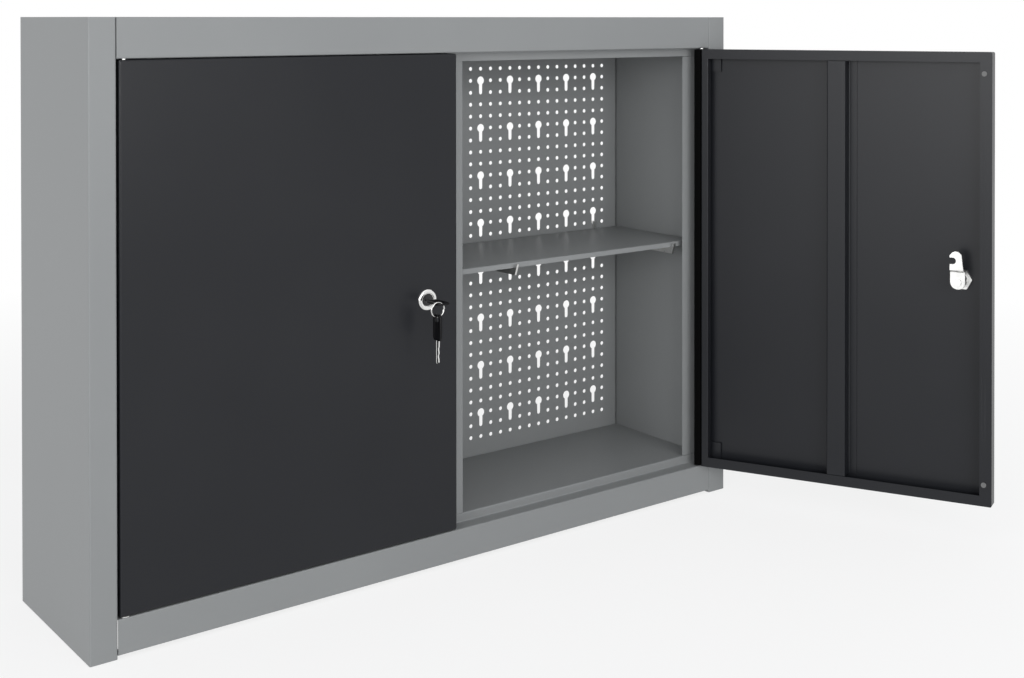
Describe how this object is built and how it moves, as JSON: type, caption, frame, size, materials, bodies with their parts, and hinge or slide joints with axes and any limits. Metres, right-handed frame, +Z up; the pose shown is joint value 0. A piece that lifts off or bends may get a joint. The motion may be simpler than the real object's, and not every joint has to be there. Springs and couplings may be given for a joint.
{
  "type": "wall tool cabinet with doors",
  "caption": "Shallow steel wall cabinet with two dark hinged doors, perforated back, one shelf on brackets, cam locks and keys.",
  "frame": {"origin": "centre of the rear face of the back spine, on the plane of the wall, at the middle of the cabinet's width and height", "axes": "+X to the right as seen from the front, +Y towards the wall, +Z up"},
  "size_m": [0.9232, 0.5316, 0.6],
  "materials": {
    "body_paint": "satin grey powder coat",
    "door_paint": "satin anthracite powder coat",
    "zinc": "zinc plated",
    "chrome": "polished nickel",
    "bumper": "matt",
    "lock_core": "black plated",
    "foam_seal": "matt black foam",
    "key_plastic": "matt black"
  },
  "bodies": {
    "cabinet": {"side_left": "body_paint", "side_right": "body_paint", "side_liner_left": "body_paint", "side_liner_right": "body_paint", "top_panel": "body_paint", "bottom_panel": "body_paint", "back_panel_left": "body_paint", "back_panel_right": "body_paint", "back_spine": "body_paint", "centre_post": "body_paint", "post_channels": "body_paint", "shelf": "body_paint", "post_rivets": "body_paint", "spine_rivets": "body_paint", "carcass_screws": "zinc", "carcass_nuts": "zinc", "back_rivets": "zinc", "shelf_bracket_1": "zinc", "shelf_bracket_2": "zinc", "shelf_bracket_3": "zinc", "shelf_bracket_4": "zinc", "hinge_washer_left": "zinc", "hinge_washer_right": "zinc"},
    "door_left": {"door_panel_left": "door_paint", "door_stiffener_left": "door_paint", "edge_seal_left": "foam_seal", "hinge_plate_top_left": "door_paint", "hinge_plate_bottom_left": "door_paint", "hinge_pins_left": "zinc", "bumpers_left": "bumper", "lock_housing_left": "chrome", "lock_nut_left": "zinc"},
    "door_right": {"door_panel_right": "door_paint", "door_stiffener_right": "door_paint", "edge_seal_right": "foam_seal", "hinge_plate_top_right": "door_paint", "hinge_plate_bottom_right": "door_paint", "hinge_pins_right": "zinc", "bumpers_right": "bumper", "lock_housing_right": "chrome", "lock_nut_right": "zinc"},
    "lock_left": {"lock_plug_left": "lock_core", "lock_cam_left": "zinc", "cam_screw_left": "zinc", "key_blade": "chrome", "key_head": "key_plastic"},
    "lock_right": {"lock_plug_right": "lock_core", "lock_cam_right": "zinc", "cam_screw_right": "zinc"},
    "ring": {"key_ring": "chrome"},
    "spare_key": {"spare_key_head": "key_plastic", "spare_key_blade": "chrome"}
  },
  "joints": [
    {"name": "left_door_hinge", "type": "hinge", "parent": "cabinet", "child": "door_left", "pos_m": [-0.3655, -0.1955, 0], "axis": [0, 0, -1], "range_deg": [0, 120]},
    {"name": "right_door_hinge", "type": "hinge", "parent": "cabinet", "child": "door_right", "pos_m": [0.3655, -0.1955, 0], "axis": [0, 0, 1], "range_deg": [-115, 5]},
    {"name": "left_lock_turn", "type": "hinge", "parent": "door_left", "child": "lock_left", "pos_m": [-0.0385, -0.2, -0.005], "axis": [0, -1, 0], "range_deg": [0, 90]},
    {"name": "right_lock_turn", "type": "hinge", "parent": "door_right", "child": "lock_right", "pos_m": [0.50777, -0.48996, -0.005], "axis": [0.9063, 0.4226, 0], "range_deg": [0, 90]},
    {"name": "key_ring_swing", "type": "hinge", "parent": "lock_left", "child": "ring", "pos_m": [-0.0385, -0.23, -0.005], "axis": [0, -1, 0], "range_deg": [-90, 0]},
    {"name": "spare_key_swing", "type": "hinge", "parent": "ring", "child": "spare_key", "pos_m": [-0.044, -0.23, -0.0184], "axis": [1, 0, 0], "range_deg": [-30, 20]}
  ],
  "couplings": [
    {"joint": "key_ring_swing", "follows": "left_lock_turn", "ratio": -1}
  ]
}
